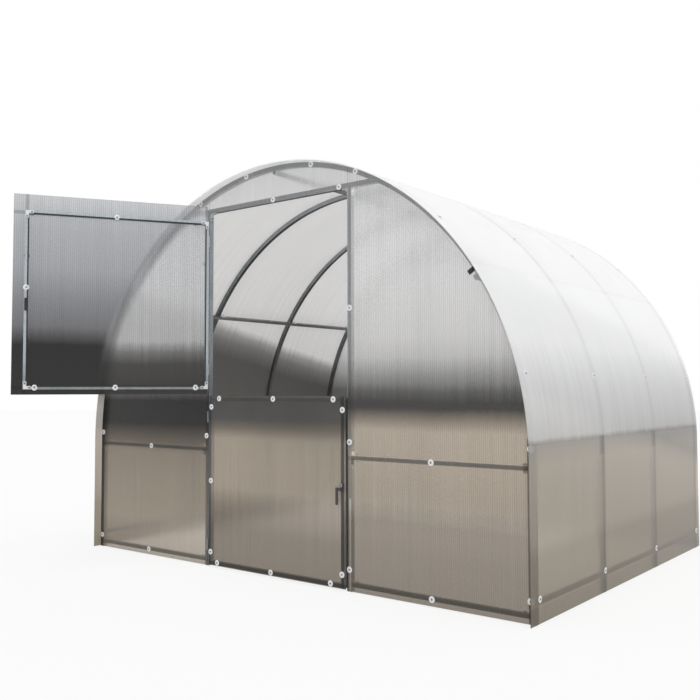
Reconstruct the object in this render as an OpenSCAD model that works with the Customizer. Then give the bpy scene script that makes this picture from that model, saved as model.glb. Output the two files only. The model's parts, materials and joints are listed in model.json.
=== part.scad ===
// Arched greenhouse: square-tube bows on straight legs, clad in twin-wall sheet,
// with a split entry door in the front gable. Millimetres, +Z up, front towards -Y.
// The origin is on the ground, under the middle of the room.

/* [Building] */
// Width over the bow tubes
width = 3000; // [2800:10:3600]
// Height of the straight legs, up to the spring line of the bows
leg_h = 690; // [600:10:1000]
// Distance between the centre lines of neighbouring bows
bay = 740; // [600:10:1200]
// How far the cover stands out past the gable frames
eaves = 50; // [20:1:90]

/* [Tubes] */
// Side of the square tube of bows, legs, posts and headers
tube = 25; // [20:1:30]
// Side of the square tube of rails, purlins and door leaves
rail = 20; // [15:1:25]
// Underside of the base rails in the gables
gable_base_z = 25; // [10:1:60]
// Underside of the base rails along the sides
side_base_z = 80; // [20:1:150]
// Drop of the mid rails' underside below the spring line
mid_rail_drop = 48; // [30:1:95]
// Elevation of the side purlins on the bow, in degrees
purlin_angle = 33; // [20:1:60]
// Drop of the headers' centre line below the top of the bows
header_drop = 182; // [150:1:220]

/* [Fittings] */
// Height of the sleeve that joins a leg to its bow, from the mid rails' underside up
coupling_h = 140; // [110:5:200]
// Wall of that sleeve
coupling_t = 3; // [2:0.5:5]
// Length of each arm of an angle bracket
bracket_l = 40; // [25:1:60]
// Plate thickness of the brackets
bracket_t = 2; // [1.5:0.5:4]
// Gap between a fitting or a curved sheet and its seat
seat = 0.3; // [0.1:0.1:0.5]

/* [Cover] */
// Thickness of the twin-wall sheet
sheet = 4; // [4:1:6]
// Gap between the ground and the lower edge of the sheets
sheet_lift = 3; // [2:1:20]
// Gap between neighbouring gable sheets
sheet_joint = 2; // [1:0.5:5]
// Angle covered by the crown sheet, in degrees
crown_arc = 60; // [40:5:90]

/* [Doorway] */
// Clear width between the door posts
door_w = 1000; // [800:10:1020]
// Strip of each door post that the gable sheets leave bare
post_bare = 6; // [5:0.5:10]
// Lower edge of the gap between the two door leaves
split_z = 955; // [900:5:1100]
// Gap between the two door leaves
split_gap = 8; // [6:1:20]
// Gap between a leaf frame and the posts
leaf_gap = 12; // [10:1:16]
// How far the leaf frames stand proud of the posts
leaf_proud = 10; // [10:1:16]
// Gap between the ground and the lower leaf
leaf_lift = 10; // [6:1:30]
// Gap between the upper leaf frame and the header
head_gap = 53; // [40:1:70]
// Opening angle of the upper leaf at rest, in degrees
upper_open = 122; // [0:1:146]

/* [Door sheets] */
// Lap of the upper sheet past the frame on the free side
upper_lap_side = 58; // [20:1:60]
// Lap of the upper sheet above its frame
upper_lap_top = 88; // [60:1:92]
// Lap of the upper sheet below its frame
upper_lap_low = 27; // [10:1:40]
// Lap of the lower sheet past its frame at the top and the free side
lower_lap = 10; // [4:1:11]
// Lap of the lower sheet below its frame
lower_lap_low = 3; // [0:1:10]
// Gap between the hinge knuckles and the sheet of a leaf
hinge_sheet_gap = 4; // [3:0.5:8]

/* [Hinges and handle] */
// Height of a hinge
hinge_h = 60; // [40:1:90]
// Distance from the end of a leaf frame to the middle of its hinge
hinge_inset = 110; // [60:5:200]
// Radius of the hinge pin
pin_r = 3; // [2:0.5:3.5]
// Running clearance round the hinge pin
pin_slip = 0.05; // [0.02:0.01:0.08]
// Plate thickness of the hinges
hinge_t = 2; // [1.5:0.5:2.5]
// Axial gap between neighbouring knuckles
knuckle_gap = 0.5; // [0.3:0.1:1]
// Diameter of the handle rod
handle_d = 9; // [6:1:12]
// Distance of the handle rod from the sheet
handle_reach = 28; // [20:1:40]
// Height of the handle's shaft above the ground
handle_z = 515; // [300:5:700]
// Sideways arm of the handle
handle_arm = 34; // [20:1:60]
// Downward grip of the handle
handle_grip = 85; // [60:1:120]
// Diameter of the handle's rose
rose_d = 28; // [20:1:36]
// Thickness of the handle's rose
rose_t = 4; // [2:1:6]
// Length of the turn tab on the upper leaf
tab_l = 60; // [40:1:90]
// Width of that tab
tab_w = 16; // [10:1:18]
// Thickness of that tab
tab_t = 4; // [3:1:6]

/* [Hidden] */

$fn = 48;
// Sides of the large arcs on screen
arc_fn = 240;

steel = "#a9b0b2";
plate = "#c9cfd0";
dark = "#3c3f40";
clear = "#dfe6e8a0";

bays = 3;
radius = width / 2;
top_z = leg_h + radius;
bow_in = radius - tube;
front_y = -bays * bay / 2 - tube / 2;
rear_y = -front_y;
cover_len = rear_y - front_y + 2 * eaves;
header_z = top_z - header_drop;
head_z = header_z - tube / 2;
mid_rail_z = leg_h - mid_rail_drop;
post_out = door_w / 2 + tube;
sheet_edge = door_w / 2 + post_bare;
coupling_in = bow_in - coupling_t;

knuckle_r = leaf_gap / 2;
hinge_x = -(door_w / 2 - knuckle_r);
hinge_y = -leaf_proud - sheet;
leaf_half = door_w / 2 - leaf_gap;
leaf_sheet_x = hinge_x + knuckle_r + hinge_sheet_gap;
lower_z0 = leaf_lift + lower_lap_low;
lower_z1 = split_z - lower_lap;
upper_z0 = split_z + split_gap + upper_lap_low;
upper_z1 = head_z - head_gap;

function bow_y(i) = (i - bays / 2) * bay;

// An outline in the plane of a gable, given depth along +Y from y0
module slab(y0, depth) {
    translate([0, y0 + depth, 0])
        rotate([90, 0, 0])
            linear_extrude(depth) children();
}

// Front gable's own frame: y = 0 is the outer face of its tubes, +y points into the room
module at_front() {
    translate([0, front_y, 0]) children();
}

module at_rear() {
    translate([0, rear_y, 0])
        rotate([0, 0, 180]) children();
}

// A door leaf drawn closed in the front gable's frame, swung open about its hinge axis
module at_leaf(angle) {
    at_front()
        translate([hinge_x, hinge_y, 0])
            rotate([0, 0, -angle])
                translate([-hinge_x, -hinge_y, 0]) children();
}

module both_sides() {
    children();
    mirror([1, 0, 0]) children();
}

// Half ring above the spring line
module half_ring(r_out, r_in) {
    translate([0, leg_h])
        difference() {
            circle(r = r_out, $fn = arc_fn);
            circle(r = r_in, $fn = arc_fn);
            translate([-width, -2 * width]) square([2 * width, 2 * width]);
        }
}

// Bows, legs and the sleeves between them

module bow(i) {
    color(steel) slab(bow_y(i) - tube / 2, tube) half_ring(radius, bow_in);
}

module legs(side) {
    color(steel)
        for (i = [0 : bays])
            translate([side > 0 ? bow_in : -radius, bow_y(i) - tube / 2, 0])
                cube([tube, tube, leg_h]);
}

// Channel on the room side of a leg's joint: web and the flanges that face into the room
module coupling(i) {
    y0 = bow_y(i) - tube / 2 - (i > 0 ? coupling_t : 0);
    y1 = bow_y(i) + tube / 2 + (i < bays ? coupling_t : 0);
    difference() {
        translate([coupling_in, y0, mid_rail_z])
            cube([radius - coupling_in - tube / 4, y1 - y0, coupling_h]);
        slab(bow_y(i) - tube / 2 - seat, tube + 2 * seat) {
            half_ring(radius + tube, bow_in - seat);
            translate([bow_in - seat, leg_h - coupling_h]) square([2 * tube, coupling_h]);
        }
    }
}

module couplings() {
    color(plate)
        both_sides()
            for (i = [0 : bays]) coupling(i);
}

module side_base_rails() {
    color(steel)
        both_sides()
            for (i = [0 : bays - 1])
                translate([radius - rail, bow_y(i) + tube / 2, side_base_z])
                    cube([rail, bay - tube, rail]);
}

// Purlins run under the bows; angle 90 is the ridge

module at_purlin(angle) {
    translate([0, 0, leg_h])
        rotate([0, -angle, 0])
            translate([bow_in - seat - rail, 0, 0]) children();
}

module purlin(angle) {
    color(steel)
        at_purlin(angle)
            translate([0, front_y, -rail / 2]) cube([rail, rear_y - front_y, rail]);
}

module side_purlins() {
    both_sides() purlin(purlin_angle);
}

// Angle plate between a bow's inner side face and the upper side face of a purlin
module purlin_bracket(i) {
    inward = i < bays ? 1 : -1;
    reach = rail + tube - bracket_t;
    translate([0, bow_y(i) + inward * tube / 2, rail / 2])
        mirror([0, inward > 0 ? 0 : 1, 0]) {
            cube([reach, bracket_l, bracket_t]);
            translate([rail + bracket_t, 0, 0]) cube([reach - rail - bracket_t, bracket_t, bracket_l]);
        }
}

module purlin_brackets() {
    color(plate)
        for (i = [0 : bays]) {
            both_sides() at_purlin(purlin_angle) purlin_bracket(i);
            at_purlin(90) purlin_bracket(i);
        }
}

// Gable frames, drawn once for both ends

module gable_posts() {
    color(steel)
        both_sides()
            translate([door_w / 2, 0, 0]) cube([tube, tube, head_z]);
}

module gable_header() {
    color(steel)
        slab(0, tube)
            intersection() {
                translate([0, leg_h]) circle(r = bow_in - seat, $fn = arc_fn);
                translate([-radius, head_z]) square([width, tube]);
            }
}

// Rails from the posts out to the corners, and between the posts where there is no door
module gable_rails(z, corner_x, between_posts) {
    color(steel) {
        both_sides()
            translate([post_out, 0, z]) cube([corner_x - post_out, rail, rail]);
        if (between_posts)
            translate([-door_w / 2, 0, z]) cube([door_w, rail, rail]);
    }
}

module angle_bracket() {
    translate([0, bracket_t, 0]) {
        cube([bracket_t, rail - 2 * bracket_t, bracket_l]);
        cube([bracket_l, rail - 2 * bracket_t, bracket_t]);
    }
}

// A pair of angle plates that face each other, from x0 to x1: on top of a rail or hung below z
module bracket_pair(x0, x1, z, below) {
    translate([0, 0, z])
        mirror([0, 0, below ? 1 : 0]) {
            translate([x0, 0, 0]) angle_bracket();
            translate([x1, 0, 0]) mirror([1, 0, 0]) angle_bracket();
        }
}

// Angle plates above and below the mid rails, on the base rails and under the header beside the posts
module gable_brackets(between_posts) {
    color(plate) {
        both_sides() {
            bracket_pair(post_out, coupling_in, mid_rail_z + rail, false);
            bracket_pair(post_out, bow_in, mid_rail_z, true);
            bracket_pair(post_out, bow_in, gable_base_z + rail, false);
            translate([post_out, 0, head_z]) mirror([0, 0, 1]) angle_bracket();
        }
        bracket_pair(-door_w / 2, door_w / 2, head_z, true);
        if (between_posts) {
            bracket_pair(-door_w / 2, door_w / 2, mid_rail_z + rail, false);
            bracket_pair(-door_w / 2, door_w / 2, mid_rail_z, true);
            bracket_pair(-door_w / 2, door_w / 2, gable_base_z + rail, false);
        }
    }
}

// Cover: flat walls, and the roof in arcs

module wall_sheet() {
    color(clear)
        translate([radius + seat, front_y - eaves, sheet_lift])
            cube([sheet, cover_len, leg_h - sheet_lift]);
}

// Roof sheet between two elevations, in degrees from the right spring line
module roof_sheet(a0, a1) {
    far = 2 * width;
    color(clear)
        slab(front_y - eaves, cover_len)
            intersection() {
                half_ring(radius + seat + sheet, radius + seat);
                translate([0, leg_h])
                    polygon([[0, 0], [far * cos(a0), far * sin(a0)], [far * cos(a1), far * sin(a1)]]);
            }
}

// The whole outline of a gable, just inside the cover
module gable_outline() {
    intersection() {
        union() {
            translate([0, leg_h]) circle(r = radius - sheet_joint, $fn = arc_fn);
            translate([-radius + sheet_joint, 0]) square([width - 2 * sheet_joint, leg_h]);
        }
        translate([-width, sheet_lift]) square([2 * width, 2 * width]);
    }
}

module gable_side_sheet() {
    color(clear)
        slab(-sheet, sheet)
            intersection() {
                gable_outline();
                translate([sheet_edge, 0]) square([width, 2 * width]);
            }
}

module gable_middle_sheet(z0) {
    half = sheet_edge - sheet_joint;
    color(clear)
        slab(-sheet, sheet)
            intersection() {
                gable_outline();
                translate([-half, z0]) square([2 * half, 2 * width]);
            }
}

// Hinges: a plate on the post with the outer knuckles and the pin, a plate on the leaf
// with the middle knuckle, both in the gap between post and leaf

knuckle_h = (hinge_h - 2 * knuckle_gap) / 3;
knuckle_clear = knuckle_r + 2.5;

module at_hinges(z0, z1) {
    for (z = [z0 + hinge_inset, z1 - hinge_inset])
        translate([hinge_x, hinge_y, z - hinge_h / 2]) children();
}

module post_hinge() {
    plate_end = -hinge_y + tube - hinge_t;
    translate([-knuckle_r, knuckle_clear, 0]) cube([hinge_t, plate_end - knuckle_clear, hinge_h]);
    for (z = [0, hinge_h - knuckle_h])
        translate([0, 0, z]) {
            cylinder(r = knuckle_r, h = knuckle_h);
            translate([-knuckle_r, 0, 0]) cube([hinge_t, knuckle_clear, knuckle_h]);
        }
    cylinder(r = pin_r, h = hinge_h);
}

module leaf_hinge() {
    plate_end = sheet + rail - hinge_t;
    translate([knuckle_r - hinge_t, knuckle_clear, 0]) cube([hinge_t, plate_end - knuckle_clear, hinge_h]);
    translate([0, 0, knuckle_h + knuckle_gap])
        difference() {
            union() {
                cylinder(r = knuckle_r, h = knuckle_h);
                translate([knuckle_r - hinge_t, 0, 0]) cube([hinge_t, knuckle_clear, knuckle_h]);
            }
            translate([0, 0, -1]) cylinder(r = pin_r + pin_slip, h = knuckle_h + 2);
        }
}

module post_hinges() {
    color(plate)
        at_front() {
            at_hinges(lower_z0, lower_z1) post_hinge();
            at_hinges(upper_z0, upper_z1) post_hinge();
        }
}

module leaf_hinges(z0, z1) {
    color(plate) at_hinges(z0, z1) leaf_hinge();
}

// Door leaves, drawn closed

module leaf_stiles(z0, z1) {
    color(steel)
        both_sides()
            translate([leaf_half - rail, -leaf_proud, z0]) cube([rail, rail, z1 - z0]);
}

module leaf_rails(z0, z1) {
    color(steel)
        for (z = [z0, z1 - rail])
            translate([-leaf_half + rail, -leaf_proud, z]) cube([2 * (leaf_half - rail), rail, rail]);
}

module leaf_sheet(x1, z0, z1) {
    color(clear)
        translate([leaf_sheet_x, -leaf_proud - sheet, z0]) cube([x1 - leaf_sheet_x, sheet, z1 - z0]);
}

// Flat corner plates on the room side of a leaf frame
module leaf_brackets(z0, z1) {
    arm_w = rail - 2 * bracket_t;
    mid = (z0 + z1) / 2;
    color(plate)
        both_sides()
            for (flip = [0, 1])
                translate([0, rail - leaf_proud, mid])
                    mirror([0, 0, flip])
                        translate([leaf_half - bracket_t, 0, (z1 - z0) / 2 - bracket_t])
                            rotate([0, 180, 0]) {
                                cube([bracket_l, bracket_t, arm_w]);
                                cube([arm_w, bracket_t, bracket_l]);
                            }
}

// Tab that turns on the room side of the upper leaf's free stile
module upper_latch() {
    color(dark)
        translate([leaf_half - rail / 2, rail - leaf_proud, (upper_z0 + upper_z1) / 2]) {
            rotate([-90, 0, 0]) cylinder(d = tab_w, h = 2 * tab_t);
            translate([-tab_w / 2, 0, -tab_l]) cube([tab_w, tab_t, tab_l]);
        }
}

// Bent rod on a round rose, in front of the lower leaf's free stile
module lower_handle() {
    color(dark)
        translate([leaf_half - rail / 2, hinge_y, handle_z]) {
            rotate([90, 0, 0]) cylinder(d = rose_d, h = rose_t);
            rotate([90, 0, 0]) cylinder(d = handle_d, h = handle_reach);
            translate([0, -handle_reach, 0]) {
                sphere(d = handle_d);
                rotate([0, -90, 0]) cylinder(d = handle_d, h = handle_arm);
                translate([-handle_arm, 0, 0]) {
                    sphere(d = handle_d);
                    translate([0, 0, -handle_grip]) cylinder(d = handle_d, h = handle_grip);
                    translate([0, 0, -handle_grip]) sphere(d = handle_d);
                }
            }
        }
}

roof_edge = (180 - crown_arc) / 2;

bow(0);  // front_bow
bow(1);  // second_bow
bow(2);  // third_bow
bow(bays);  // rear_bow
legs(-1);  // left_legs
legs(1);  // right_legs
couplings();
side_base_rails();
purlin(90);  // ridge_purlin
side_purlins();
purlin_brackets();

at_front() gable_posts();  // front_posts
at_front() gable_header();  // front_header
at_front() gable_rails(mid_rail_z, coupling_in, false);  // front_mid_rails
at_front() gable_rails(gable_base_z, bow_in, false);  // front_base_rails
at_front() gable_brackets(false);  // front_brackets
at_rear() gable_posts();  // rear_posts
at_rear() gable_header();  // rear_header
at_rear() gable_rails(mid_rail_z, coupling_in, true);  // rear_mid_rails
at_rear() gable_rails(gable_base_z, bow_in, true);  // rear_base_rails
at_rear() gable_brackets(true);  // rear_brackets

mirror([1, 0, 0]) wall_sheet();  // left_wall_sheet
roof_sheet(180 - roof_edge, 180);  // left_roof_sheet
roof_sheet(roof_edge, 180 - roof_edge);  // crown_sheet
roof_sheet(0, roof_edge);  // right_roof_sheet
wall_sheet();  // right_wall_sheet
at_front() mirror([1, 0, 0]) gable_side_sheet();  // front_left_sheet
at_front() gable_middle_sheet(head_z + post_bare);  // front_top_sheet
at_front() gable_side_sheet();  // front_right_sheet
at_rear() gable_side_sheet();  // rear_left_sheet
at_rear() gable_middle_sheet(sheet_lift);  // rear_middle_sheet
at_rear() mirror([1, 0, 0]) gable_side_sheet();  // rear_right_sheet

post_hinges();
at_leaf(upper_open) leaf_stiles(upper_z0, upper_z1);  // upper_leaf_stiles
at_leaf(upper_open) leaf_rails(upper_z0, upper_z1);  // upper_leaf_rails
at_leaf(upper_open)  // upper_leaf_sheet
        leaf_sheet(leaf_half + upper_lap_side, upper_z0 - upper_lap_low, upper_z1 + upper_lap_top);
at_leaf(upper_open) leaf_brackets(upper_z0, upper_z1);  // upper_leaf_brackets
at_leaf(upper_open) leaf_hinges(upper_z0, upper_z1);  // upper_leaf_hinges
at_leaf(upper_open) upper_latch();  // upper_leaf_latch
at_leaf(0) leaf_stiles(lower_z0, lower_z1);  // lower_leaf_stiles
at_leaf(0) leaf_rails(lower_z0, lower_z1);  // lower_leaf_rails
at_leaf(0) leaf_sheet(leaf_half + lower_lap, leaf_lift, split_z);  // lower_leaf_sheet
at_leaf(0) leaf_brackets(lower_z0, lower_z1);  // lower_leaf_brackets
at_leaf(0) leaf_hinges(lower_z0, lower_z1);  // lower_leaf_hinges
at_leaf(0) lower_handle();  // lower_leaf_handle
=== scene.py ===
"""Looks of an arched greenhouse: galvanised frame, twin-wall cover, split door and fixings.

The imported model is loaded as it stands. This file gives every node its finish, lays one unbroken
cover over the bows, adds washers, bolts, a clip, edge strips, a seal and a lever, and sets up the
studio. Metres, +Z up, the front gable faces -Y.
"""

from __future__ import annotations

import json
import logging
import math
from collections.abc import Callable, Iterable, Mapping, Sequence
from dataclasses import dataclass, field, replace
from enum import Enum
from typing import Any

import bmesh
import bpy
from mathutils import Matrix, Vector

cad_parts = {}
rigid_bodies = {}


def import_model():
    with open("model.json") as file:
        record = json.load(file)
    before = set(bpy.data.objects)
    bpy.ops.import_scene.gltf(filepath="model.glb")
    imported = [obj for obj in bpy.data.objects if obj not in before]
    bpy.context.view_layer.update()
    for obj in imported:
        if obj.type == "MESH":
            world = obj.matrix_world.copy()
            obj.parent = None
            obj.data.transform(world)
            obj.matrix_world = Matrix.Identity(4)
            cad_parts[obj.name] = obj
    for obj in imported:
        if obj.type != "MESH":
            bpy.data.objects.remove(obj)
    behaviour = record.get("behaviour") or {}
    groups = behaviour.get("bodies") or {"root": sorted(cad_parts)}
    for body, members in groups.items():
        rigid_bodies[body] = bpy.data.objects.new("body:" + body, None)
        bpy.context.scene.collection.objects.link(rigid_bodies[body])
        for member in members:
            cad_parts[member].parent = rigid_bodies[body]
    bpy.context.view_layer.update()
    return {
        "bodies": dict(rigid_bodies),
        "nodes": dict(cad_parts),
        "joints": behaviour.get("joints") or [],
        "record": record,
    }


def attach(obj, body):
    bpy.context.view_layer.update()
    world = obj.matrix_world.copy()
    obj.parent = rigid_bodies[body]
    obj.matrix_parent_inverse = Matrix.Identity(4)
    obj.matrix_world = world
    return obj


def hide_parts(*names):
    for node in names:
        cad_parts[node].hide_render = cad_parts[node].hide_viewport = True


LOG = logging.getLogger("greenhouse")

Pair = tuple[float, float]
Triple = tuple[float, float, float]
Colour = Triple
ToneStop = tuple[float, Colour, float]


class Body(Enum):
    """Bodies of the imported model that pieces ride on."""

    BUILDING = "building"
    UPPER_LEAF = "upper_leaf"
    LOWER_LEAF = "lower_leaf"


class Slot(Enum):
    """Material slots of the record, passed along with the added pieces but not applied."""

    PLATE = "zinc_plate"
    DARK = "dark_hardware"
    SHEET = "twin_wall_sheet"


UPPER_LEAF_SWING = math.radians(122.0)
ACROSS, ALONG, UP = (1.0, 0.0, 0.0), (0.0, 1.0, 0.0), (0.0, 0.0, 1.0)
SIDES = (-1.0, 1.0)
# Places of the bows along the part, and the height where their arcs begin
BOW_PLACES = (-1.11, -0.37, 0.37, 1.11)
SPRING = 0.69
# Distance of the gable frames' outer faces from the middle, thickness of rails and sheets
GABLE_PLANE = 1.1225
RAIL = 0.02
SHEET = 0.004
# Tint of the lower part of the front sheets, a painted see-through of the ground
TAUPE: Colour = (0.62, 0.565, 0.495)


class Flutes(Enum):
    """Direction across the flutes of a sheet, in the frame of the part at rest."""

    GABLE = ACROSS
    COVER = ALONG
    OPEN_LEAF = (math.cos(UPPER_LEAF_SWING), -math.sin(UPPER_LEAF_SWING), 0.0)


class Value:
    """A quantity that varies over a surface: one output socket, with arithmetic."""

    def __init__(self, shader: Shader, socket: bpy.types.NodeSocket) -> None:
        """Keep the socket and the shader that it belongs to."""
        self.shader = shader
        self.socket = socket

    def _math(self, operation: str, first: Any, second: Any = 0.0) -> Value:
        """Add a Math node.

        Args:
            operation: Name of the node's operation.
            first: Left operand, a value or a number.
            second: Right operand, a value or a number.

        Returns:
            The node's result.
        """
        return self.shader.node("ShaderNodeMath", {"operation": operation}, {0: first, 1: second})

    def __add__(self, other: Any) -> Value:
        """Sum of this value and another."""
        return self._math("ADD", self, other)

    def __radd__(self, other: Any) -> Value:
        """Sum of a number and this value."""
        return self._math("ADD", other, self)

    def __sub__(self, other: Any) -> Value:
        """Difference of this value and another."""
        return self._math("SUBTRACT", self, other)

    def __rsub__(self, other: Any) -> Value:
        """Difference of a number and this value."""
        return self._math("SUBTRACT", other, self)

    def __mul__(self, other: Any) -> Value:
        """Product of this value and another."""
        return self._math("MULTIPLY", self, other)

    def __rmul__(self, other: Any) -> Value:
        """Product of a number and this value."""
        return self._math("MULTIPLY", other, self)

    def __truediv__(self, other: Any) -> Value:
        """Quotient of this value and another."""
        return self._math("DIVIDE", self, other)

    def sine(self) -> Value:
        """Sine of this value."""
        return self._math("SINE", self)

    def size(self) -> Value:
        """This value without its sign."""
        return self._math("ABSOLUTE", self)

    def larger(self, other: Any) -> Value:
        """Larger of this value and another."""
        return self._math("MAXIMUM", self, other)

    def eased(self, low: float, high: float) -> Value:
        """Smooth rise from 0 at low to 1 at high.

        Args:
            low: Where the rise begins.
            high: Where the rise ends.

        Returns:
            The eased value.
        """
        return self.shader.node(
            "ShaderNodeMapRange",
            {"interpolation_type": "SMOOTHSTEP"},
            {"Value": self, "From Min": low, "From Max": high},
        )


class Shader:
    """Node tree of one material, or of the surroundings."""

    def __init__(self, holder: bpy.types.Material | bpy.types.World) -> None:
        """Start an empty tree.

        Args:
            holder: The material or the surroundings that the tree belongs to.
        """
        holder.use_nodes = True
        self.holder = holder
        self.tree = holder.node_tree
        self.tree.nodes.clear()

    @classmethod
    def of_material(cls, name: str) -> Shader:
        """Empty tree of a new material."""
        return cls(bpy.data.materials.new(name))

    def node(
        self,
        kind: str,
        settings: Mapping[str, Any] | None = None,
        inputs: Mapping[Any, Any] | None = None,
        output: Any = 0,
    ) -> Value:
        """Add a node.

        Args:
            kind: Blender's type name of the node.
            settings: Properties of the node; "stops" fills a colour ramp.
            inputs: Values or links by socket name or number.
            output: Name or number of the socket to return.

        Returns:
            The chosen output, or the first input of a node that ends the tree.
        """
        made = self.tree.nodes.new(kind)
        for name, setting in (settings or {}).items():
            if name == "stops":
                self._fill_ramp(made.color_ramp, setting)
            else:
                setattr(made, name, setting)
        for key, given in (inputs or {}).items():
            socket = made.inputs[key]
            if isinstance(given, Value):
                self.tree.links.new(given.socket, socket)
            elif socket.type == "RGBA" and len(given) == 3:
                socket.default_value = (*given, 1.0)
            else:
                socket.default_value = given
        return Value(self, made.outputs[output] if made.outputs else made.inputs[0])

    @staticmethod
    def _fill_ramp(ramp: bpy.types.ColorRamp, stops: Sequence[tuple[float, Colour]]) -> None:
        """Put stops on a colour ramp.

        Args:
            ramp: The ramp, with its two first stops.
            stops: Position and colour of each stop, in rising order.
        """
        while len(ramp.elements) < len(stops):
            ramp.elements.new(1.0)
        for element, (position, colour) in zip(ramp.elements, stops):
            element.position = position
            element.color = (*colour, 1.0)

    def place(self) -> Value:
        """Object coordinates of the surface."""
        return self.node("ShaderNodeTexCoord", output="Object")

    def parts(self, vector: Value) -> tuple[Value, Value, Value]:
        """Split a vector.

        Args:
            vector: The vector.

        Returns:
            Its three components.
        """
        first = self.node("ShaderNodeSeparateXYZ", inputs={0: vector})
        outputs = first.socket.node.outputs
        return first, Value(self, outputs[1]), Value(self, outputs[2])

    def vector(self, x: Any, y: Any, z: Any) -> Value:
        """Vector of three components."""
        return self.node("ShaderNodeCombineXYZ", inputs={0: x, 1: y, 2: z})

    def along(self, vector: Value, direction: Triple) -> Value:
        """Component of a vector along a direction."""
        return self.node(
            "ShaderNodeVectorMath", {"operation": "DOT_PRODUCT"}, {0: vector, 1: direction}, "Value"
        )

    def noise(self, vector: Value, scale: float, detail: float = 2.0, roughness: float = 0.5) -> Value:
        """Soft noise between 0 and 1.

        Args:
            vector: Where the noise is read.
            scale: Features per metre.
            detail: Number of finer layers.
            roughness: Strength of the finer layers.

        Returns:
            The noise.
        """
        return self.node(
            "ShaderNodeTexNoise",
            inputs={"Vector": vector, "Scale": scale, "Detail": detail, "Roughness": roughness},
        )

    def cells(self, vector: Value, scale: float) -> Value:
        """Random level of each crystal-like cell, between 0 and 1."""
        inputs = {"Vector": vector, "Scale": scale}
        return self.parts(self.node("ShaderNodeTexVoronoi", inputs=inputs, output="Color"))[0]

    def ramp(self, level: Value, stops: Sequence[tuple[float, Colour]]) -> Value:
        """Colour looked up from a level."""
        return self.node("ShaderNodeValToRGB", {"stops": stops}, {0: level})

    def blend(self, share: Any, first: Any, second: Any) -> Value:
        """Blend of two colours.

        Args:
            share: Share of the second colour.
            first: First colour.
            second: Second colour.

        Returns:
            The blended colour.
        """
        return self.node("ShaderNodeMix", {"data_type": "RGBA"}, {0: share, 6: first, 7: second}, 2)

    def scaled(self, colour: Value, factor: Value) -> Value:
        """Colour made lighter or darker by a factor."""
        return self.node("ShaderNodeVectorMath", {"operation": "SCALE"}, {0: colour, "Scale": factor})

    def relief(self, height: Value, distance: float, strength: float) -> Value:
        """Surface normal of a relief.

        Args:
            height: Relief between 0 and 1.
            distance: Depth of the relief in metres.
            strength: Share of the relief that shows.

        Returns:
            The normal.
        """
        return self.node(
            "ShaderNodeBump", inputs={"Strength": strength, "Distance": distance, "Height": height}
        )

    def surface(self, **sockets: Any) -> Value:
        """Add a Principled surface.

        Args:
            sockets: Values by socket name, with _ for a space.

        Returns:
            The surface.
        """
        inputs = {name.replace("_", " "): given for name, given in sockets.items()}
        return self.node("ShaderNodeBsdfPrincipled", inputs=inputs)

    def finished(self, surface: Value) -> bpy.types.Material:
        """Material that ends in a surface."""
        self.node("ShaderNodeOutputMaterial", inputs={"Surface": surface})
        return self.holder


@dataclass(frozen=True)
class ZincFinish:
    """Zinc-coated steel with spangle and run marks, darker and rougher towards the ground; the darkening
    is painted shade.

    It is painted lighter towards the right side of the part, a painted light, and painted darker on faces
    that look down or to the rear, a painted shade.
    """

    name: str
    light: Colour
    dark: Colour
    ground_shade: Colour
    spangle: float = 260.0
    roughness: float = 0.36
    metallic: float = 0.75
    ground_shade_low: float = 0.75
    ground_shade_high: float = 1.25
    face_shade: float = 0.0
    painted_light: float = 0.0
    painted_light_low: float = 0.45
    painted_light_high: float = 1.0

    def _shaded_faces(self, shader: Shader) -> Value:
        """One on faces that look down or to the rear, where shade is painted on the zinc."""
        _, rearward, up = shader.parts(shader.node("ShaderNodeTexCoord", output="Normal"))
        return rearward.larger(up * -1.0).eased(0.3, 0.8)

    def material(self) -> bpy.types.Material:
        """Build the material.

        Returns:
            The material.
        """
        shader = Shader.of_material(self.name)
        place = shader.place()
        x, y, z = shader.parts(place)
        spangle = shader.cells(place, self.spangle)
        cloud = shader.noise(place, 9.0, 4.0, 0.6)
        runs = shader.noise(shader.vector(x * 55.0, y * 55.0, z * 3.0), 1.0, 3.0)
        mottle = spangle * 0.35 + cloud * 0.4 + runs * 0.35
        unshaded = shader.blend(mottle.eased(0.25, 0.85), self.dark, self.light)
        # painted shade: darker towards the ground
        height = (z + (cloud - 0.5) * 0.12).eased(self.ground_shade_low, self.ground_shade_high)
        colour = shader.blend(height, shader.blend(mottle, self.ground_shade, self.dark), unshaded)
        # painted shade on faces that look down or to the rear
        if self.face_shade:
            colour = shader.scaled(colour, 1.0 - self.face_shade * self._shaded_faces(shader))
        # painted light: lighter towards the right side of the part
        if self.painted_light:
            colour = shader.scaled(colour, 1.0 + self.painted_light * x.eased(self.painted_light_low, self.painted_light_high))
        surface = shader.surface(
            Base_Color=colour,
            Metallic=self.metallic,
            Roughness=self.roughness + spangle * 0.1 + (1.0 - height) * 0.14,
            Normal=shader.relief(spangle * 0.4 + runs * 0.6, 0.0004, 0.35),
        )
        return shader.finished(surface)


@dataclass(frozen=True)
class PaintFinish:
    """Satin paint over pressed metal, rubbed on its high spots."""

    name: str
    paint: Colour
    rubbed: Colour

    def material(self) -> bpy.types.Material:
        """Build the material.

        Returns:
            The material.
        """
        shader = Shader.of_material(self.name)
        place = shader.place()
        orange_peel = shader.noise(place, 900.0, 2.0)
        wear = shader.noise(place, 70.0, 5.0, 0.7).eased(0.6, 0.72)
        surface = shader.surface(
            Base_Color=shader.blend(wear * 0.7, self.paint, self.rubbed),
            Metallic=0.2,
            Roughness=0.34 + orange_peel * 0.12 + wear * 0.12,
            Normal=shader.relief(orange_peel, 0.0003, 0.3),
        )
        return shader.finished(surface)


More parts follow.
